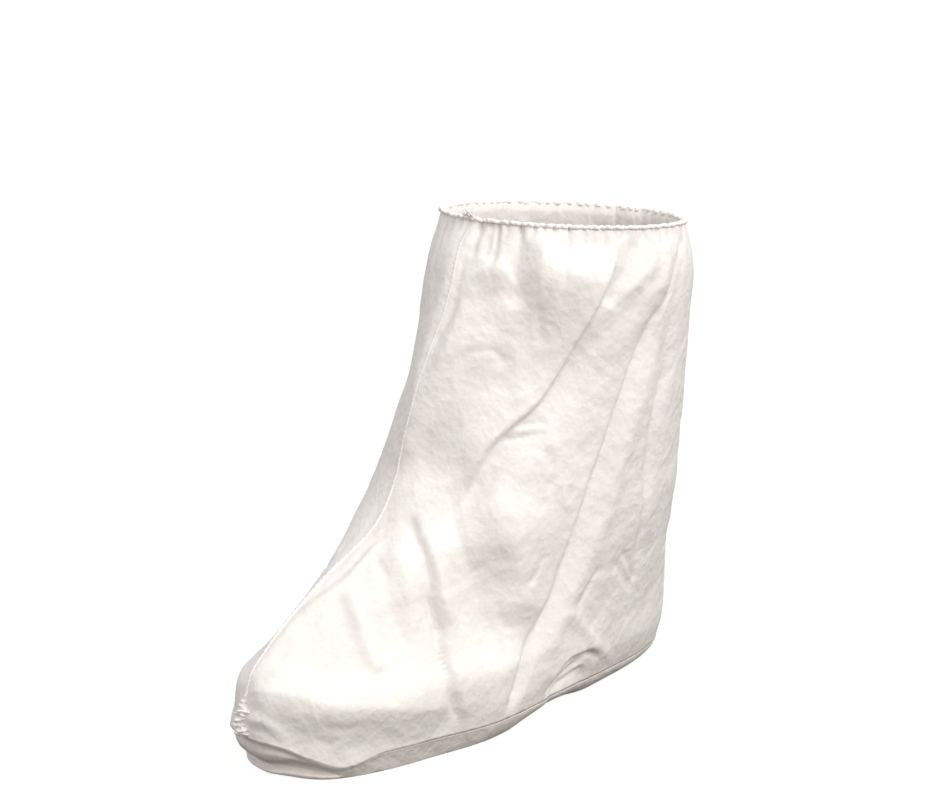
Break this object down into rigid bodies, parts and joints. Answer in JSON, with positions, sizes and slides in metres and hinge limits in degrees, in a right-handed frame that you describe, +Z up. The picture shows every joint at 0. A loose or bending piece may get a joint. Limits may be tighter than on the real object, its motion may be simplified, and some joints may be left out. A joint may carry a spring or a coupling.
{
  "type": "disposable boot cover",
  "caption": "Thin white nonwoven cover for a boot, with a gathered elastic collar, a raised front seam and a turned-under sole, standing open and empty.",
  "frame": {"origin": "on the floor, under the middle of the bounding box", "axes": "+X towards the toe, +Y towards the wearer's left, +Z up"},
  "size_m": [0.3155, 0.1384, 0.281],
  "materials": {
    "sheet": "matte, crumpled",
    "underfoot": "matte, crumpled",
    "cord": "matte, gathered",
    "thread": "matte, overlocked"
  },
  "bodies": {
    "root": {"upper": "sheet", "sole": "underfoot", "collar_elastic": "cord", "front_seam": "thread"}
  },
  "joints": []
}
